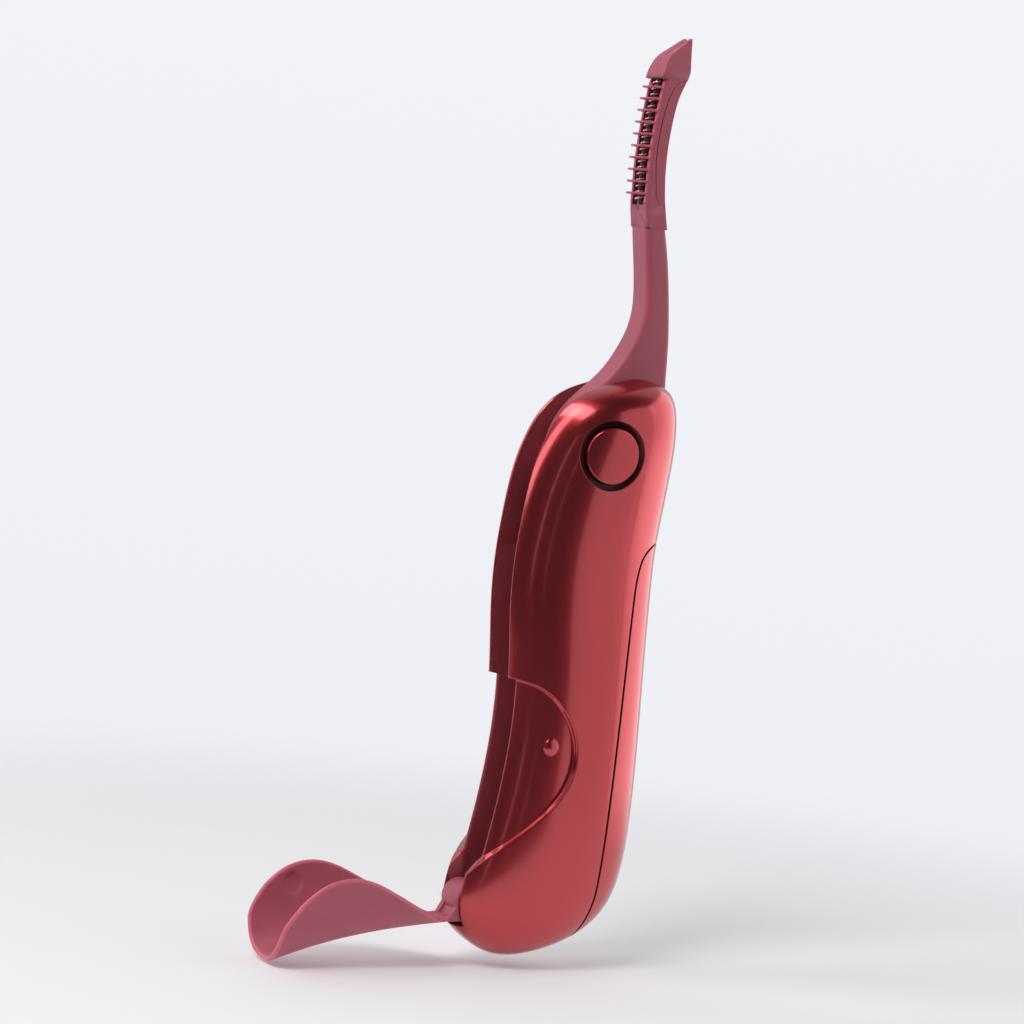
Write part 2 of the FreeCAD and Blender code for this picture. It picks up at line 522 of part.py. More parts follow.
# fins: rounded plates across the front of the recess, tied by two side rails
fz = [42.85 + i * (60.3 - 42.85) / (FIN_COUNT - 1) for i in range(FIN_COUNT)]
cf = pchip([p[1] for p in COMB_FRONT], [p[0] for p in COMB_FRONT])
fins = rails
bore = tube(PATH, 0.0, 1.12)
for z in fz:
    y = cf(z)
    el = Part.Ellipse(V(0, 0, 0), 2.42, 2.2).toShape()
    plate = Part.Face(Part.Wire([el])).extrude(V(0, 0, FIN_T))
    plate = plate.fuse(box(-2.42, 2.42, 0, 0.55, 0, FIN_T)).cut(box(-4, 4, 0.55, 4, -1, 2))
    plate.rotate(V(0, 0, 0), V(1, 0, 0), 3.0)
    plate.translate(V(0, y, z - FIN_T / 2))
    fins = fins.fuse(plate)
fins = fins.cut(bore)
put("comb_fins", one(fins))
put("heater_core", core)

# resistance wire wound on the core
pe = edge(PATH[1:-1], 0.0)
pz = [p[1] for p in PATH]
pf = pchip(pz, [p[0] for p in PATH])
turns, R, r = 20, 0.78, 0.19
za, zb = 41.3, 61.3
n = turns * 12
pts = []
for i in range(n + 1):
    z = za + (zb - za) * i / n
    a = 2 * math.pi * turns * i / n
    pts.append(V(R * math.cos(a), pf(z) + R * math.sin(a), z))
bs = Part.BSplineCurve()
bs.interpolate(pts)
we = bs.toShape()
c = Part.Wire([Part.makeCircle(r, pts[0], bs.tangent(bs.FirstParameter)[0])])
coil = Part.Wire([we]).makePipeShell([c], True, True)
put("heater_coil", coil)

# ------------------------------------------------------------------ reports
def folded(s, a):
    t = s.copy()
    t.rotate(V(0, 0, 0) + ORIGIN, V(1, 0, 0), a)
    return t


lo = min(o.BoundBox.ZMin for o in OUT.values())
hi = max(o.BoundBox.ZMax for o in OUT.values())
print("overall z %.2f .. %.2f" % (lo, hi), "y", min(o.BoundBox.YMin for o in OUT.values()), max(o.BoundBox.YMax for o in OUT.values()),
      "x", min(o.BoundBox.XMin for o in OUT.values()), max(o.BoundBox.XMax for o in OUT.values()))
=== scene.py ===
import json
import math

import bmesh
import bpy
import numpy as np
from mathutils import Matrix, Vector


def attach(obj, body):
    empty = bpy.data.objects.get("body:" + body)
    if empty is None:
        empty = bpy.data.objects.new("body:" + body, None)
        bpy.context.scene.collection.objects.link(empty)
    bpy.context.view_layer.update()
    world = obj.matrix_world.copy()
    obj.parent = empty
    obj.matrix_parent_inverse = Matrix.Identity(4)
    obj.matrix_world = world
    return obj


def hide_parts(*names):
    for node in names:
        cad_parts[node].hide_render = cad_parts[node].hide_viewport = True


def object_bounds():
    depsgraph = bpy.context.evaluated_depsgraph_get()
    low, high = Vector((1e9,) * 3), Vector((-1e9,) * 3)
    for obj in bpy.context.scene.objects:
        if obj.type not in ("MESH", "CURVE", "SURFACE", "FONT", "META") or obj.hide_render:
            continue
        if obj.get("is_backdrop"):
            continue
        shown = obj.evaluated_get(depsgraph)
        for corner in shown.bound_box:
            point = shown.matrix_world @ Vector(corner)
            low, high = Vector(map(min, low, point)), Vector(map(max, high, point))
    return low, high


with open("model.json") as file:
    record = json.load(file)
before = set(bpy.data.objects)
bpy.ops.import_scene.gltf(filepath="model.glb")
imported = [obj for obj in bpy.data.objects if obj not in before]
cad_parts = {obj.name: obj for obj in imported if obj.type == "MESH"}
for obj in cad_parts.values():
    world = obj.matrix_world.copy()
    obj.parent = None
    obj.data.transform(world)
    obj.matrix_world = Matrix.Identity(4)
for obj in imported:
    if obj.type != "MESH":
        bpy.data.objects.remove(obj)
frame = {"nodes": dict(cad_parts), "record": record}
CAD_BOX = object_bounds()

NODES, REC = frame["nodes"], frame["record"]
MM = 0.001
ORG = np.array([0.0, -1.0, 40.0])      # pivot frame (mm) to row frame

# ------------------------------------------------------------------ body form
Z_TOP, Z_BOT, SECT_N = 13.5, -83.7, 2.3
COVER_T, STEP_T = 0.9, 1.2
HINGE = np.array([-12.5, -74.4])
BARREL_R, COVER_OPEN = 2.9, 108.0
FRONT = [(12.3, 2.9), (11.2, -0.2), (10.3, -2.6), (9.3, -4.5), (5.6, -8.2),
         (1.3, -10.4), (-2.1, -11.6), (-7, -12.6), (-13.6, -13.3), (-18, -13.6),
         (-22, -13.6), (-28.2, -13.1), (-35.7, -12.2), (-41.3, -11.8),
         (-46, -11.8), (-51, -12.1), (-58, -12.9), (-64.3, -14.0),
         (-68.2, -14.8), (-71, -15.4), (-75, -15.9), (-77.5, -15.5),
         (-79.2, -14.2), (-81, -11.9), (-82.2, -9.8), (-83.1, -7.9)]
BACK = [(12.7, 9.6), (12.1, 11.9), (11.3, 13.1), (9.7, 14.1), (6.8, 14.8),
        (3.5, 15.1), (0.7, 15.2), (-4, 15.0), (-9, 14.7), (-15.4, 14.3),
        (-23, 14.5), (-31, 14.8), (-39.5, 15.2), (-47.5, 15.6), (-57, 15.9),
        (-63.7, 15.9), (-67, 15.6), (-71.4, 14.9), (-74.8, 13.5),
        (-76.5, 12.3), (-79.1, 9.4), (-80.8, 6.4), (-82.4, 2.2), (-83.2, -0.5)]
TOP_Y, BOT_Y = 7.0, -4.1
WIDTH = [(12.2, 4.3), (11.3, 6.1), (9.7, 7.9), (6.8, 9.1), (3.5, 9.45),
         (0, 9.3), (-4, 8.95), (-9, 8.55), (-15, 8.2), (-23, 8.05), (-31, 8.05),
         (-45, 8.15), (-57, 8.2), (-64, 8.1), (-70, 7.8), (-74, 7.3),
         (-77, 6.6), (-79.5, 5.6), (-81.5, 4.4), (-82.8, 2.9)]
ZC, ZH = (Z_TOP + Z_BOT) / 2.0, (Z_TOP - Z_BOT) / 2.0


def ang(z):
    return np.arccos(np.clip((ZC - z) / ZH, -1, 1))


def pchip(xs, ys):
    xs, ys = np.asarray(xs, float), np.asarray(ys, float)
    h = np.diff(xs)
    d = np.diff(ys) / h
    m = np.zeros(len(xs))
    m[0], m[-1] = d[0], d[-1]
    for i in range(1, len(xs) - 1):
        if d[i - 1] * d[i] > 0:
            a, b = 2 * h[i] + h[i - 1], h[i] + 2 * h[i - 1]
            m[i] = (a + b) / (a / d[i - 1] + b / d[i])

    def f(x):
        x = np.asarray(x, float)
        i = np.clip(np.searchsorted(xs, x, side="left") - 1, 0, len(xs) - 2)
        t = (x - xs[i]) / h[i]
        return ((1 + 2 * t) * (1 - t) ** 2 * ys[i] + t * (1 - t) ** 2 * h[i] * m[i]
                + t * t * (3 - 2 * t) * ys[i + 1] + t * t * (t - 1) * h[i] * m[i + 1])
    return f


def smooth_loop(fn, sigma, n=1440):
    x = 2 * np.pi * np.arange(n) / n
    raw = np.array([float(fn(v)) for v in x])
    k = int(3 * sigma * n / (2 * np.pi)) + 1
    j = np.arange(-k, k + 1)
    w = np.exp(-0.5 * (j * 2 * np.pi / n / sigma) ** 2)
    w /= w.sum()
    out = sum(w[q] * np.roll(raw, -j[q]) for q in range(len(j)))

    def f(x):
        u = (np.asarray(x, float) % (2 * np.pi)) * n / (2 * np.pi)
        i = np.floor(u).astype(int)
        t = u - i
        p0, p1, p2, p3 = out[(i - 1) % n], out[i % n], out[(i + 1) % n], out[(i + 2) % n]
        return 0.5 * (2 * p1 + (p2 - p0) * t + (2 * p0 - 5 * p1 + 4 * p2 - p3) * t * t
                      + (3 * p1 - p0 - 3 * p2 + p3) * t ** 3)
    return f


def table(rows, lo, hi):
    pts = sorted((float(ang(z)), y) for z, y in rows)
    return pchip([0.0] + [p[0] for p in pts] + [math.pi], [lo] + [p[1] for p in pts] + [hi])


_f, _b, _w = table(FRONT, BOT_Y, TOP_Y), table(BACK, BOT_Y, TOP_Y), table(WIDTH, 0.0, 0.0)
OUTLINE = smooth_loop(lambda a: _f(a) if a <= math.pi else _b(2 * math.pi - a), 0.045)
HALFW = smooth_loop(lambda a: _w(a) if a <= math.pi else -_w(2 * math.pi - a), 0.06)


def body_point(v, t):
    yf, yb = OUTLINE(v), OUTLINE(2 * np.pi - v)
    c, s = np.cos(t), np.sin(t)
    r = (np.abs(c) ** SECT_N + np.abs(s) ** SECT_N) ** (-1.0 / SECT_N)
    return np.stack([HALFW(v) * c * r, (yf + yb) / 2 + (yb - yf) / 2 * s * r, ZC - ZH * np.cos(v)], -1)


def body_normal(v, t, e=1e-3):
    du = body_point(v + e, t) - body_point(v - e, t)
    dt = body_point(v, t + e) - body_point(v, t - e)
    n = np.cross(dt, du)
    return n / np.linalg.norm(n, axis=-1, keepdims=True)


def implicit(P):
    v = ang(P[:, 2])
    yf, yb = OUTLINE(v), OUTLINE(2 * np.pi - v)
    w = np.maximum(HALFW(v), 0.05)
    d = np.maximum((yb - yf) / 2, 0.05)
    return (np.abs(P[:, 0] / w) ** SECT_N + np.abs((P[:, 1] - (yf + yb) / 2) / d) ** SECT_N) ** (1 / SECT_N) - 1


def body_distance(P):
    """Signed distance (mm) to the body form, outside positive, and its direction."""
    e = 0.02
    g = implicit(P)
    grad = np.stack([(implicit(P + np.eye(3)[k] * e) - implicit(P - np.eye(3)[k] * e)) / (2 * e) for k in range(3)], -1)
    l = np.maximum(np.linalg.norm(grad, axis=1), 1e-6)
    return g / l, grad / l[:, None]


# ----------------------------------------------------------------- materials
def mat(name):
    m = bpy.data.materials.new(name)
    m.use_nodes = True
    nt = m.node_tree
    bsdf = nt.nodes["Principled BSDF"]
    return m, nt, bsdf


def new(nt, kind, **kw):
    n = nt.nodes.new(kind)
    for k, v in kw.items():
        if hasattr(n, k):
            setattr(n, k, v)
        else:
            n.inputs[k].default_value = v
    return n


def setin(n, **kw):
    for k, v in kw.items():
        n.inputs[k.replace("_", " ")].default_value = v


def noise(nt, scale, detail=4.0, rough=0.55, vec=None):
    n = nt.nodes.new("ShaderNodeTexNoise")
    setin(n, Scale=scale, Detail=detail, Roughness=rough)
    if vec is not None:
        nt.links.new(vec, n.inputs["Vector"])
    return n


def ramp(nt, src, stops):
    r = nt.nodes.new("ShaderNodeValToRGB")
    el = r.color_ramp.elements
    while len(el) < len(stops):
        el.new(0.5)
    for e, (p, c) in zip(el, stops):
        e.position = p
        e.color = (*c, 1) if len(c) == 3 else c
    nt.links.new(src, r.inputs["Fac"])
    return r


def maprange(nt, src, a, b, c, d):
    m = nt.nodes.new("ShaderNodeMapRange")
    setin(m, From_Min=a, From_Max=b, To_Min=c, To_Max=d)
    nt.links.new(src, m.inputs["Value"])
    return m


def bevel_bump(nt, bsdf, height, strength, distance, radius=0.00012, coat=None):
    bv = nt.nodes.new("ShaderNodeBevel")
    bv.samples = 4
    bv.inputs["Radius"].default_value = radius
    b = nt.nodes.new("ShaderNodeBump")
    setin(b, Strength=strength, Distance=distance)
    nt.links.new(height, b.inputs["Height"])
    nt.links.new(bv.outputs["Normal"], b.inputs["Normal"])
    nt.links.new(b.outputs["Normal"], bsdf.inputs["Normal"])
    if coat:
        nt.links.new(bv.outputs["Normal"], bsdf.inputs["Coat Normal"])


def m_lacquer():
    m, nt, b = mat("red_metallic_lacquer")
    tc = nt.nodes.new("ShaderNodeTexCoord").outputs["Object"]
    flakes = nt.nodes.new("ShaderNodeTexVoronoi")
    setin(flakes, Scale=9000.0)
    nt.links.new(tc, flakes.inputs["Vector"])
    cloud = noise(nt, 45.0, 2.0, 0.5, tc)
    col = ramp(nt, cloud.outputs["Fac"], [(0.3, (0.50, 0.037, 0.047)), (0.7, (0.53, 0.042, 0.053))])
    fl = maprange(nt, flakes.outputs["Color"], 0.0, 1.0, 0.9, 1.1)
    mx = new(nt, "ShaderNodeMix", data_type="RGBA", blend_type="MULTIPLY")
    mx.inputs[0].default_value = 1.0
    nt.links.new(col.outputs["Color"], mx.inputs[6])
    nt.links.new(fl.outputs["Result"], mx.inputs[7])
    nt.links.new(mx.outputs[2], b.inputs["Base Color"])
    ro = maprange(nt, cloud.outputs["Fac"], 0.3, 0.7, 0.245, 0.26)
    nt.links.new(ro.outputs["Result"], b.inputs["Roughness"])
    setin(b, Metallic=0.94, Coat_Weight=0.8, Coat_Roughness=0.10, Coat_IOR=1.6, Specular_IOR_Level=0.5)
    # moulded edges: wide and soft on the ledge and lower lips, tight elsewhere
    sep = nt.nodes.new("ShaderNodeSeparateXYZ")
    nt.links.new(tc, sep.inputs[0])
    low_ = maprange(nt, sep.outputs["Z"], 0.004, 0.002, 0.0, 1.0)
    fwd = maprange(nt, sep.outputs["Y"], 0.0055, 0.0035, 0.0, 1.0)
    mul = new(nt, "ShaderNodeMath", operation="MULTIPLY")
    nt.links.new(low_.outputs["Result"], mul.inputs[0])
    nt.links.new(fwd.outputs["Result"], mul.inputs[1])
    # the snap bump keeps its own round form
    flat_ = new(nt, "ShaderNodeCombineXYZ")
    nt.links.new(sep.outputs["Y"], flat_.inputs["Y"])
    nt.links.new(sep.outputs["Z"], flat_.inputs["Z"])
    near = new(nt, "ShaderNodeVectorMath", operation="DISTANCE")
    nt.links.new(flat_.outputs[0], near.inputs[0])
    near.inputs[1].default_value = (0.0, -0.0043, -0.0081)
    off_ = maprange(nt, near.outputs["Value"], 0.0019, 0.0024, 0.0, 1.0)
    mul2 = new(nt, "ShaderNodeMath", operation="MULTIPLY")
    nt.links.new(mul.outputs[0], mul2.inputs[0])
    nt.links.new(off_.outputs["Result"], mul2.inputs[1])
    rad = maprange(nt, mul2.outputs[0], 0.0, 1.0, 0.00014, 0.00050)
    bv = nt.nodes.new("ShaderNodeBevel")
    bv.samples = 6
    nt.links.new(rad.outputs["Result"], bv.inputs["Radius"])
    nt.links.new(bv.outputs["Normal"], b.inputs["Normal"])
    nt.links.new(bv.outputs["Normal"], b.inputs["Coat Normal"])
    return m


def m_mauve(name="mauve_matte_plastic", tint=1.0, rough=0.5):
    m, nt, b = mat(name)
    tc = nt.nodes.new("ShaderNodeTexCoord").outputs["Object"]
    big = noise(nt, 90.0, 4.0, 0.55, tc)
    col = ramp(nt, big.outputs["Fac"], [(0.3, (0.42 * tint, 0.083 * tint, 0.128 * tint)), (0.7, (0.46 * tint, 0.094 * tint, 0.142 * tint))])
    nt.links.new(col.outputs["Color"], b.inputs["Base Color"])
    tex = noise(nt, 3500.0, 3.0, 0.6, tc)
    ro = maprange(nt, tex.outputs["Fac"], 0.3, 0.7, rough - 0.04, rough + 0.05)
    nt.links.new(ro.outputs["Result"], b.inputs["Roughness"])
    setin(b, Specular_IOR_Level=0.55, Sheen_Weight=0.16, Sheen_Roughness=0.4,
          Subsurface_Weight=0.25, Subsurface_Scale=0.0015)
    b.inputs["Sheen Tint"].default_value = (0.95, 0.78, 0.84, 1)
    b.inputs["Subsurface Radius"].default_value = (1.0, 0.25, 0.3)
    bevel_bump(nt, b, tex.outputs["Fac"], 0.22, 0.00002, 0.00014)
    return m


def m_plain(name, c1, c2, rough=0.5, metallic=0.0, scale=300.0, bump=0.1, coat=0.0):
    m, nt, b = mat(name)
    tc = nt.nodes.new("ShaderNodeTexCoord").outputs["Object"]
    n = noise(nt, scale, 4.0, 0.55, tc)
    col = ramp(nt, n.outputs["Fac"], [(0.3, c1), (0.7, c2)])
    nt.links.new(col.outputs["Color"], b.inputs["Base Color"])
    f = noise(nt, scale * 12, 3.0, 0.6, tc)
    ro = maprange(nt, f.outputs["Fac"], 0.3, 0.7, max(0.02, rough - 0.05), rough + 0.05)
    nt.links.new(ro.outputs["Result"], b.inputs["Roughness"])
    setin(b, Metallic=metallic, Coat_Weight=coat)
    bevel_bump(nt, b, f.outputs["Fac"], bump, 0.00002, 0.0001)
    return m


LACQUER = m_lacquer()
MAUVE = m_mauve()
# painted highlight: the cover's rim uses a lighter copy of the mauve plastic (base colour x1.4, less rough) for the
# light caught along the rim
RIM_HIGHLIGHT = m_mauve("mauve_rim_painted_highlight", 1.40, 0.40)
# painted highlight: the comb fins use a lighter copy of the mauve plastic (base colour x1.35, less rough) for the light
# they catch
FIN_HIGHLIGHT = m_mauve("fin_painted_highlight", 1.35, 0.36)
INNER = m_plain("inner_dark_red_plastic", (0.085, 0.010, 0.015), (0.11, 0.014, 0.02), 0.38)
STEEL = m_plain("brushed_steel", (0.50, 0.50, 0.51), (0.62, 0.62, 0.63), 0.3, 1.0, 900.0)
WIRE = m_plain("heating_wire", (0.70, 0.62, 0.60), (0.84, 0.77, 0.75), 0.24, 1.0, 700.0, 0.03)
CERAMIC = m_plain("heater_ceramic", (0.13, 0.085, 0.08), (0.19, 0.13, 0.12), 0.5)
NICKEL = m_plain("nickel_strip", (0.62, 0.6, 0.54), (0.72, 0.7, 0.64), 0.25, 1.0, 500.0)
JACKET = m_plain("cell_jacket_film", (0.05, 0.10, 0.14), (0.06, 0.13, 0.17), 0.25, 0.0, 60.0, 0.05, 0.5)
BOARD = m_plain("board_solder_resist", (0.02, 0.12, 0.05), (0.03, 0.15, 0.07), 0.35, 0.0, 500.0)
BLACK = m_plain("black_switch_plastic", (0.02, 0.02, 0.02), (0.035, 0.035, 0.035), 0.45)
LEAD = m_plain("lead_insulation", (0.30, 0.02, 0.02), (0.36, 0.03, 0.03), 0.5)
RING_R = 5.72                           # groove round the button
# painted shade: a near-black material for the button's ring groove, standing in for the shadow inside the recess
RING_SHADE = m_plain("ring_groove_painted_shade", (0.085, 0.012, 0.016), (0.11, 0.016, 0.022), 0.5)
SLOT_WALL = m_plain("slot_wall_plastic", (0.24, 0.032, 0.044), (0.28, 0.040, 0.053), 0.5)
MATS = {"red_lacquer": LACQUER, "mauve_plastic": MAUVE, "dark_red_plastic": INNER, "steel": STEEL,
        "heating_wire": WIRE, "ceramic": CERAMIC, "nickel": NICKEL, "cell_jacket": JACKET, "board": BOARD,
        "black_plastic": BLACK, "lead_insulation": LEAD}
SLOT_OF = {s["node"]: s["material_slot"] for s in REC["subparts"]}
BODY_OF = {n: b for b, ns in REC["behaviour"]["bodies"].items() for n in ns}


def link(name, me, body, slot, material, *replaces):
    ob = bpy.data.objects.new(name, me)
    bpy.context.scene.collection.objects.link(ob)
    me.materials.clear()
    me.materials.append(material)
    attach(ob, body)
    if replaces:
        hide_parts(*replaces)
    return ob


def world_mesh(ob):
    me = ob.data
    n = len(me.vertices)
    co = np.empty(n * 3)
    me.vertices.foreach_get("co", co)
    m = np.array(ob.matrix_world)
    return co.reshape(-1, 3) @ m[:3, :3].T + m[:3, 3]


def refine(node, material=None, angle=32.0, lacquer=False, name=None):
    """A clean welded copy of a CAD node, smooth shaded; on lacquered pieces the
    shading normals come from the exact body form."""
    src = NODES[node]
    bm = bmesh.new()
    bm.from_mesh(src.data)
    bm.transform(src.matrix_world)
    bmesh.ops.remove_doubles(bm, verts=bm.verts, dist=2e-7)
    bmesh.ops.dissolve_degenerate(bm, edges=bm.edges, dist=1e-7)
    me = bpy.data.meshes.new((name or node) + "_skin")
    bm.to_mesh(me)
    bm.free()
    me.polygons.foreach_set("use_smooth", np.ones(len(me.polygons), bool))
    me.set_sharp_from_angle(angle=math.radians(angle))
    if lacquer:
        nv, nl = len(me.vertices), len(me.loops)
        co = np.empty(nv * 3)
        me.vertices.foreach_get("co", co)
        P = co.reshape(-1, 3) * 1000 - ORG
        dist, grad = body_distance(P)
        vi = np.empty(nl, int)
        me.loops.foreach_get("vertex_index", vi)
        pn = np.empty(len(me.polygons) * 3)
        me.polygons.foreach_get("normal", pn)
        pn = pn.reshape(-1, 3)
        tot = np.empty(len(me.polygons), int)
        me.polygons.foreach_get("loop_total", tot)
        fi = np.repeat(np.arange(len(me.polygons)), tot)
        cn = np.empty(nl * 3)
        me.corner_normals.foreach_get("vector", cn)
        cn = cn.reshape(-1, 3)
        dot = (pn[fi] * grad[vi]).sum(1)
        on = np.zeros(nl, bool)
        for d0, tol in ((0.0, 0.09), (0.12, 0.06), (-STEP_T, 0.25)):
            on |= (np.abs(dist[vi] - d0) < tol) & (dot > 0.93)
        # a face is taken whole or not at all
        bad = np.zeros(len(me.polygons), bool)
        np.logical_or.at(bad, fi, ~on)
        on &= ~bad[fi]
        cn[on] = grad[vi][on]
        me.normals_split_custom_set([tuple(v) for v in cn])
    ob = link(name or node + "_skin", me, BODY_OF[node], SLOT_OF[node], material or MATS[SLOT_OF[node]], node)
    if node in ("right_shell", "left_shell"):
        # bare moulding on the slot walls and inside the shell, lacquer outside; the groove round the button is painted
        # near-black as shade
        me.materials.append(SLOT_WALL)
        me.materials.append(RING_SHADE)
        side = -1 if node == "right_shell" else 1
        for f_ in me.polygons:
            dd, gg = dist[list(f_.vertices)], grad[list(f_.vertices)].mean(0)
            inner = dd.max() < -1.16 or (abs(f_.normal.x) > 0.95 and f_.normal.x * side > 0 and abs(f_.center.x) < 0.0031)
            if inner and f_.normal.dot(Vector(tuple(gg))) < 0.5:
                f_.material_index = 1
            # painted shade: the groove's floor and walls round the button take the near-black material
            r_ = math.hypot(f_.center.y - ORG[1] * MM, f_.center.z - ORG[2] * MM)
            floor_ = dd.max() < -0.1 and r_ < RING_R * MM
            wall_ = abs(f_.normal.x) < 0.3 and r_ < (RING_R + 0.06) * MM
            if (floor_ or wall_) and abs(f_.center.x) > 0.0065:
                f_.material_index = 2
    return ob


STRIP_EXTRA = 0.17                     # the comb's back strip fills its recess end to end
for n in ("right_shell", "left_shell", "battery_cover", "power_button", "pivot_cap"):
    refine(n, lacquer=True)
for n in ("arm", "comb_head", "comb_back"):
    refine(n, angle=28.0)
strip = bpy.data.objects["comb_back_skin"].data
sz = [v_.co.z for v_ in strip.vertices]
zm, zl = (max(sz) + min(sz)) / 2, (max(sz) - min(sz)) / 2
for v_ in strip.vertices:
    v_.co.z = zm + (v_.co.z - zm) * (zl + STRIP_EXTRA * MM) / zl
# painted highlight: the fins take the lighter mauve copy
fins = refine("comb_fins", FIN_HIGHLIGHT, angle=35)
COMB_FRONT = [(4.0, 41.0), (4.05, 42.8), (3.9, 46.0), (3.85, 49.0), (4.0, 52.5), (4.25, 56.0), (4.7, 60.0), (4.95, 61.8)]
comb_y = pchip([q[1] for q in COMB_FRONT], [q[0] for q in COMB_FRONT])
fin_z = np.array([42.85 + i * (60.3 - 42.85) / 9 for i in range(10)])
for vert in fins.data.vertices:
    # each fin thins towards its tip
    y, z = vert.co.y * 1000 - ORG[1], vert.co.z * 1000 - ORG[2]
    i = int(np.argmin(abs(fin_z - z)))
    fwd = float(comb_y(fin_z[i])) - y
    if fwd > 0.02:
        zc = fin_z[i] - fwd * math.sin(math.radians(3.0))
        vert.co.z = (zc + (z - zc) * (1 - 0.5 * min(1.0, fwd / 2.2) ** 1.3) + ORG[2]) * MM
for n in ("chassis", "heater_core", "heater_coil"):
    refine(n, angle=35)
# the foot of the core is moulded into the comb's block
core_me = bpy.data.objects["heater_core_skin"].data
bm = bmesh.new()
bm.from_mesh(core_me)
bmesh.ops.bisect_plane(bm, geom=bm.verts[:] + bm.edges[:] + bm.faces[:], plane_co=(0, 0, 0.08102), plane_no=(0, 0, 1))
bm.to_mesh(core_me)
bm.free()
core_me.materials.append(MAUVE)
for f_ in core_me.polygons:
    f_.material_index = 1 if f_.center.z < 0.08102 else 0
for n, ob in NODES.items():
    if n in ("right_shell", "left_shell", "battery_cover", "power_button", "pivot_cap", "arm", "comb_head", "comb_back",
             "comb_fins", "chassis", "heater_core", "heater_coil", "flip_cover"):
        continue
    ob.data.materials.clear()
    ob.data.materials.append(MATS[SLOT_OF[n]])


# ---------------------------------------------------------------- flip cover
STEP_CURVE = [(-8.9, -38.0), (-5.6, -39.2), (-2.3, -42.2), (-0.2, -45.6), (0.65, -49.2),
              (0.1, -53.3), (-2.1, -57.2), (-6.1, -61.4), (-10.6, -65.6), (-14.2, -69.6)]
RIM_GAP = [0.35, 0.55, 0.9, 1.2, 1.35, 1.4, 1.35, 1.2, 0.9, 0.6]
BUMP_Y, BUMP_Z = -3.3, -48.1
TAIL_X = 2.7


def rim_curve():
    c = np.array(STEP_CURVE)
    out = []
    for i, p in enumerate(c):
        a, b = c[max(0, i - 1)], c[min(len(c) - 1, i + 1)]
        t = (b - a) / np.linalg.norm(b - a)
        g = RIM_GAP[i] + COVER_T / 2        # the rounded rim adds half the wall
        out.append((p[0] + t[1] * g, p[1] - t[0] * g))
    return np.array(out)


def catmull(P, n):
    P = np.vstack([2 * P[0] - P[1], P, 2 * P[-1] - P[-2]])
    out = []
    for i in range(1, len(P) - 2):
        for t in np.linspace(0, 1, n, endpoint=False):
            p0, p1, p2, p3 = P[i - 1:i + 3]
            out.append(0.5 * (2 * p1 + (p2 - p0) * t + (2 * p0 - 5 * p1 + 4 * p2 - p3) * t * t
                              + (3 * p1 - p0 - 3 * p2 + p3) * t ** 3))
    out.append(P[-2])
    return np.array(out)


def cover_mesh():
    rim = catmull(rim_curve(), 24)
    z_top, z_end = -37.9 - COVER_T / 2, -73.6
    rows, cols = 150, 121
    zs_r, ys_r = rim[::-1, 1], rim[::-1, 0]
    keep = np.r_[True, np.diff(np.maximum.accumulate(zs_r)) > 1e-6]
    zs_r, ys_r = zs_r[keep], ys_r[keep]
    # rows gather near the top edge, where the rim runs across
    s = np.linspace(0, 1, rows)
    zrow = z_top + (z_end - z_top) * (s ** 1.35)
    drop = 1.3 * (1 - s) ** 3               # the mouth dips into the rim at its ends
    v = ang(zrow - drop)
    yf, yb = OUTLINE(v), OUTLINE(2 * np.pi - v)
    q = np.linspace(-1, 1, cols)
    tgrid = np.empty((rows, cols))
    for i in range(rows):
        tt = np.linspace(-np.pi / 2, np.pi / 2, 2001)
        P = body_point(np.full_like(tt, v[i]), tt)
        yr = np.interp(zrow[i] - drop[i], zs_r, ys_r, left=-99, right=ys_r[-1])
        t_y = np.interp(yr, P[:, 1], tt) if yr > P[0, 1] else -np.pi / 2
        # never narrower than the tail that runs down to the barrel
        j = np.argmax(P[:, 0] >= TAIL_X - COVER_T / 2)
        t_r = max(t_y, tt[j])
        tgrid[i] = (t_r + np.pi / 2) * q
    sg = np.sign(tgrid)
    T = -np.pi / 2 + np.abs(tgrid)
    dip = np.clip((abs(q) - 0.35) / 0.65, 0, 1) ** 2.2
    V_ = ang(zrow[:, None] - drop[:, None] * dip[None, :])
    P = body_point(V_, T)
    N = body_normal(V_, np.clip(T, -np.pi / 2 + 1e-4, None))
    N[..., 0] *= np.where(sg < 0, -1, 1)
    P[..., 0] *= np.where(sg < 0, -1, 1)
    N[:, cols // 2, 0] = 0
    N /= np.linalg.norm(N, axis=-1, keepdims=True)
    half = COVER_T / 2
    mid = P - N * half
    return mid, N, rows, cols, half


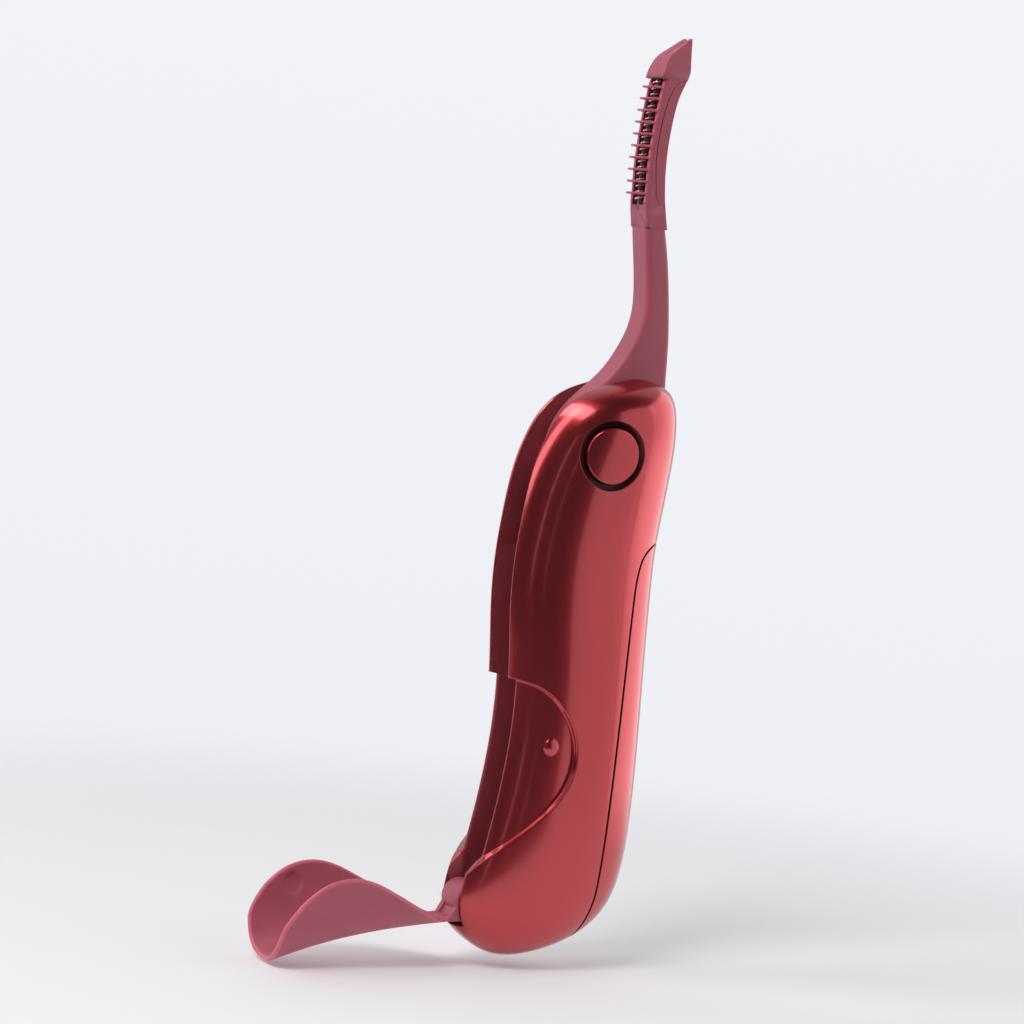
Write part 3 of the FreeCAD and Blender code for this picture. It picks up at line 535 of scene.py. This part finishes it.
def build_cover():
    mid, N, R, C, half = cover_mesh()
    # closed loop of border vertices with outward in-surface directions
    loop = ([(0, j) for j in range(C)] + [(i, C - 1) for i in range(1, R)]
            + [(R - 1, j) for j in range(C - 2, -1, -1)] + [(i, 0) for i in range(R - 2, 0, -1)])
    L = np.array([mid[i, j] for i, j in loop])
    NL = np.array([N[i, j] for i, j in loop])
    tan = np.roll(L, -1, 0) - np.roll(L, 1, 0)
    tan /= np.linalg.norm(tan, axis=1, keepdims=True)
    out = np.cross(tan, NL)
    ctr = mid[R // 2, C // 2]
    inside = np.array([mid[min(max(i, 1), R - 2), min(max(j, 1), C - 2)] for i, j in loop])
    flip = ((L - inside) * out).sum(1) < 0
    out[flip] *= -1
    for _ in range(6):
        out = (np.roll(out, 1, 0) + 2 * out + np.roll(out, -1, 0)) / 4
        out /= np.linalg.norm(out, axis=1, keepdims=True)
    G = mid
    verts, faces = [], []

    def grid(off, flipf, dimple=False):
        base = len(verts)
        for i in range(R):
            for j in range(C):
                p = G[i, j] + N[i, j] * off
                if dimple:
                    r = math.hypot((p[1] - BUMP_Y + 0.3) / 1.15, p[2] - BUMP_Z)
                    if r < 1.95 and abs(p[0]) > 4:
                        d = 0.48 * (1 - (r / 1.6) ** 2) ** 0.6 if r < 1.6 else 0.0
                        lipz = 0.04 * math.exp(-((r - 1.75) / 0.12) ** 2)
                        p = p + N[i, j] * (d - lipz)
                verts.append(p)
        for i in range(R - 1):
            for j in range(C - 1):
                a = base + i * C + j
                f = (a, a + 1, a + C + 1, a + C)
                faces.append(f[::-1] if flipf else f)
        return base

    b_out = grid(half, False)
    b_in = grid(-half, True, True)
    K = 7
    rings = []
    for k in range(1, K):
        a = math.pi * k / K
        base = len(verts)
        for m, (i, j) in enumerate(loop):
            verts.append(G[i, j] + NL[m] * half * math.cos(a) + out[m] * half * math.sin(a))
        rings.append([base + m for m in range(len(loop))])
    first = [b_out + i * C + j for i, j in loop]
    last = [b_in + i * C + j for i, j in loop]
    seq = [first] + rings + [last]
    n = len(loop)
    n_skin = len(faces)
    for r0, r1 in zip(seq[:-1], seq[1:]):
        for m in range(n):
            m2 = (m + 1) % n
            faces.append((r0[m], r0[m2], r1[m2], r1[m]))
    V = np.array(verts)
    me = bpy.data.meshes.new("flip_cover_skin")
    me.from_pydata([tuple(p) for p in V], [], faces)
    at = me.attributes.new("rim", "INT", "FACE")
    for k in range(n_skin, len(faces)):
        at.data[k].value = 1
    bm = bmesh.new()
    bm.from_mesh(me)
    # barrel of the hinge, rounded at its ends, with its bore
    seg, y0, z0 = 96, HINGE[0], HINGE[1]
    ring = []
    steps = [(-TAIL_X, 0.8), (-TAIL_X, BARREL_R - 0.3)] + \
        [(-TAIL_X + 0.3 - 0.3 * math.cos(a), BARREL_R - 0.3 + 0.3 * math.sin(a)) for a in np.linspace(0.3, math.pi / 2, 4)]
    steps = steps + [(-x, r) for x, r in steps[::-1]] + [(-TAIL_X, 0.8)]
    for x, r in steps:
        ring.append([bm.verts.new((x, y0 + r * math.cos(2 * math.pi * k / seg), z0 + r * math.sin(2 * math.pi * k / seg)))
                     for k in range(seg)])
    for r0, r1 in zip(ring[:-1], ring[1:]):
        for k in range(seg):
            bm.faces.new((r0[k], r0[(k + 1) % seg], r1[(k + 1) % seg], r1[k]))
    # web between the tail and the barrel, with a three-cornered rib at each end
    def slab(poly, x0, x1):
        a_ = [bm.verts.new((x0, y, z)) for y, z in poly]
        b_ = [bm.verts.new((x1, y, z)) for y, z in poly]
        bm.faces.new(a_)
        bm.faces.new(b_[::-1])
        for k in range(len(poly)):
            k2 = (k + 1) % len(poly)
            bm.faces.new((a_[k], b_[k], b_[k2], a_[k2]))
    slab([(-12.8, -72.0), (-14.45, -70.3), (-14.9, -70.3), (-15.3, -72.0), (-15.55, -74.9), (-14.3, -75.6), (-12.5, -74.4)],
         -TAIL_X + 0.1, TAIL_X - 0.1)
    for x0 in (1.65, -TAIL_X + 0.02):
        slab([(-14.5, -69.6), (-12.3, -71.9), (-12.5, -73.2), (-14.7, -72.4)], x0, x0 + TAIL_X - 1.67)
    bmesh.ops.recalc_face_normals(bm, faces=bm.faces)
    rot = Matrix.Translation((0, y0, z0)) @ Matrix.Rotation(math.radians(COVER_OPEN), 4, "X") @ Matrix.Translation((0, -y0, -z0))
    bm.transform(Matrix.Scale(MM, 4) @ Matrix.Translation(tuple(ORG)) @ rot)
    bmesh.ops.remove_doubles(bm, verts=bm.verts, dist=2e-7)
    bm.to_mesh(me)
    bm.free()
    me.polygons.foreach_set("use_smooth", np.ones(len(me.polygons), bool))
    me.set_sharp_from_angle(angle=math.radians(50))
    ob = link("flip_cover_skin", me, "flip_cover", "mauve_plastic", MAUVE, "flip_cover")
    # painted highlight: the rim faces take the lighter mauve copy
    me.materials.append(RIM_HIGHLIGHT)
    lay = me.attributes["rim"].data
    for f_ in me.polygons:
        f_.material_index = 1 if lay[f_.index].value else 0
    me.attributes.remove(me.attributes["rim"])
    return ob


build_cover()

# -------------------------------------------------------------- camera, light
class Cam:
    az, el, roll, f, scale = 60.5, 3.4, 7.0, 3300.0, 6.2
    anchor, px = np.array([8.6, 0, 0]), (612.8, 456.3)


a, e, r = map(math.radians, (Cam.az, Cam.el, Cam.roll))
back = np.array([math.sin(a) * math.cos(e), -math.cos(a) * math.cos(e), math.sin(e)])
rt = np.array([math.cos(a), math.sin(a), 0.0])
up = np.cross(back, rt)
right = rt * math.cos(r) + up * math.sin(r)
upv = -rt * math.sin(r) + up * math.cos(r)
dist = Cam.f / Cam.scale
C = Cam.anchor + dist * back - (Cam.px[0] - 512) / Cam.f * dist * right + (Cam.px[1] - 512) / Cam.f * dist * upv
C = (C + ORG) * MM
cam = bpy.data.cameras.new("cam")
cam.sensor_width = 36
cam.lens = Cam.f * 36 / 1024
cam.clip_start = 0.01
co = bpy.data.objects.new("cam", cam)
co.matrix_world = Matrix(((right[0], upv[0], back[0], C[0]), (right[1], upv[1], back[1], C[1]),
                          (right[2], upv[2], back[2], C[2]), (0, 0, 0, 1)))
bpy.context.scene.collection.objects.link(co)
bpy.context.scene.camera = co

low = min(CAD_BOX[0][2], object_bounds()[0][2])


FLOOR_GLOW = 0.11


def floor():
    me = bpy.data.meshes.new("floor")
    bm = bmesh.new()
    n, rad = 96, 1.2
    bmesh.ops.create_circle(bm, cap_ends=True, segments=n, radius=rad)
    bm.transform(Matrix.Translation((0, 0, low - 0.0004)))
    bm.to_mesh(me)
    bm.free()
    ob = bpy.data.objects.new("floor", me)
    bpy.context.scene.collection.objects.link(ob)
    m, nt, b = mat("floor")
    tc = nt.nodes.new("ShaderNodeTexCoord").outputs["Object"]
    n1 = noise(nt, 6.0, 3.0, 0.5, tc)
    col = ramp(nt, n1.outputs["Fac"], [(0.3, (0.84, 0.845, 0.86)), (0.7, (0.86, 0.865, 0.88))])
    nt.links.new(col.outputs["Color"], b.inputs["Base Color"])
    setin(b, Roughness=0.6, Specular_IOR_Level=0.2)
    # the floor thins out into the backdrop away from the object
    g = nt.nodes.new("ShaderNodeVectorMath")
    g.operation = "LENGTH"
    nt.links.new(tc, g.inputs[0])
    f = maprange(nt, g.outputs["Value"], 0.085, 0.30, 0.0, 1.0)
    f.interpolation_type = "SMOOTHERSTEP"
    # and ends a hand's breadth in front of the object
    fr = nt.nodes.new("ShaderNodeVectorMath")
    fr.operation = "DOT_PRODUCT"
    nt.links.new(tc, fr.inputs[0])
    fr.inputs[1].default_value = (back[0], back[1], 0.0)
    f2 = maprange(nt, fr.outputs["Value"], 0.075, 0.15, 0.0, 1.0)
    f2.interpolation_type = "SMOOTHERSTEP"
    fmax = new(nt, "ShaderNodeMath", operation="MAXIMUM")
    nt.links.new(f.outputs["Result"], fmax.inputs[0])
    nt.links.new(f2.outputs["Result"], fmax.inputs[1])
    tr = nt.nodes.new("ShaderNodeBsdfTransparent")
    b.inputs["Emission Color"].default_value = (0.965, 0.97, 1.0, 1)
    b.inputs["Emission Strength"].default_value = FLOOR_GLOW
    mx = nt.nodes.new("ShaderNodeMixShader")
    nt.links.new(fmax.outputs[0], mx.inputs["Fac"])
    nt.links.new(b.outputs[0], mx.inputs[1])
    nt.links.new(tr.outputs[0], mx.inputs[2])
    nt.links.new(mx.outputs[0], nt.nodes["Material Output"].inputs["Surface"])
    me.materials.append(m)
    ob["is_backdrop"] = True
    return ob


floor()


def area(name, loc, target, size, power, color=(1, 1, 1), sizey=None):
    l = bpy.data.lights.new(name, "AREA")
    l.shape = "RECTANGLE"
    l.size, l.size_y = size, sizey or size
    l.energy = power
    l.color = color
    ob = bpy.data.objects.new(name, l)
    loc, target = Vector(loc), Vector(target)
    ob.matrix_world = Matrix.Translation(loc) @ (loc - target).to_track_quat("Z", "Y").to_matrix().to_4x4()
    bpy.context.scene.collection.objects.link(ob)
    return ob


def around(theta, elev, dist):
    """A point seen from the object at compass angle theta (from +X towards +Y)."""
    t, e_ = math.radians(theta), math.radians(elev)
    return Vector((dist * math.cos(t) * math.cos(e_), dist * math.sin(t) * math.cos(e_), dist * math.sin(e_))) + mid


def panel(name, theta, elev, dist, wide, tall, glow, color=(1, 1, 1)):
    """Soft box of a given brightness (watts follow from its area)."""
    return area(name, around(theta, elev, dist), mid, wide, glow * math.pi * wide * tall, color, tall)


mid = Vector((0, 0, 0.02))
panel("right_box", 84, 12, 0.72, 0.90, 0.95, 1.02, (1, 0.99, 0.99))
panel("side_box", 34, 10, 0.90, 0.60, 0.95, 0.68, (1, 0.99, 0.99))
panel("left_box", -142, 8, 0.72, 0.42, 0.50, 0.50, (1, 0.985, 0.98))
panel("key_box", -96, 34, 0.75, 0.24, 0.80, 2.5, (1, 0.985, 0.985))
# a smaller lamp on the same side gives the floor its shadow; it isn't mirrored in the lacquer
shade = panel("shade_lamp", -60, 46, 0.75, 0.24, 0.24, 15.0, (1, 0.99, 0.985))
shade.visible_glossy = False
# a long high strip that only draws the line along the ledge
ledge = panel("ledge_strip", -92, 60, 0.75, 0.85, 0.24, 3.6, (1, 0.985, 0.98))
ledge.visible_diffuse = False
panel("strip_a", -38, 8, 0.95, 0.024, 0.50, 1.5)
panel("strip_b", -16, 8, 0.95, 0.014, 0.50, 0.9)

w = bpy.data.worlds.new("studio")
bpy.context.scene.world = w
w.use_nodes = True
nt = w.node_tree
bg = nt.nodes["Background"]
lp = nt.nodes.new("ShaderNodeLightPath")
geo = nt.nodes.new("ShaderNodeTexCoord")
sep = nt.nodes.new("ShaderNodeSeparateXYZ")
nt.links.new(geo.outputs["Generated"], sep.inputs[0])
sky = maprange(nt, sep.outputs["Z"], -0.25, 0.35, 0.0, 1.0)
seen = ramp(nt, sky.outputs["Result"], [(0.0, (0.855, 0.855, 0.900)), (0.35, (0.87, 0.88, 0.925)), (1.0, (0.905, 0.925, 0.945))])
# the room: dark towards the viewer, pale behind the object and below it
dot = nt.nodes.new("ShaderNodeVectorMath")
dot.operation = "DOT_PRODUCT"
nt.links.new(geo.outputs["Generated"], dot.inputs[0])
dot.inputs[1].default_value = tuple(back)
depth = maprange(nt, dot.outputs["Value"], -1.0, 1.0, 0.0, 1.0)
lit = ramp(nt, depth.outputs["Result"], [(0.0, (0.64, 0.64, 0.67)), (0.38, (0.50, 0.50, 0.52)), (0.52, (0.12, 0.115, 0.12)), (0.66, (0.07, 0.067, 0.07)), (1.0, (0.10, 0.096, 0.10))])
down = maprange(nt, sep.outputs["Z"], -0.02, -0.16, 0.0, 1.0)
low_mix = new(nt, "ShaderNodeMix", data_type="RGBA")
behind_ = maprange(nt, dot.outputs["Value"], 0.25, -0.15, 0.0, 1.0)
dm = new(nt, "ShaderNodeMath", operation="MULTIPLY")
nt.links.new(down.outputs["Result"], dm.inputs[0])
nt.links.new(behind_.outputs["Result"], dm.inputs[1])
nt.links.new(dm.outputs[0], low_mix.inputs[0])
nt.links.new(lit.outputs["Color"], low_mix.inputs[6])
low_mix.inputs[7].default_value = (0.70, 0.70, 0.73, 1)
mx = new(nt, "ShaderNodeMix", data_type="RGBA")
nt.links.new(lp.outputs["Is Camera Ray"], mx.inputs[0])
nt.links.new(low_mix.outputs[2], mx.inputs[6])
nt.links.new(seen.outputs["Color"], mx.inputs[7])
nt.links.new(mx.outputs[2], bg.inputs["Color"])
bg.inputs["Strength"].default_value = 1.0

sc = bpy.context.scene
sc.view_settings.view_transform = "Standard"
sc.view_settings.look = "None"
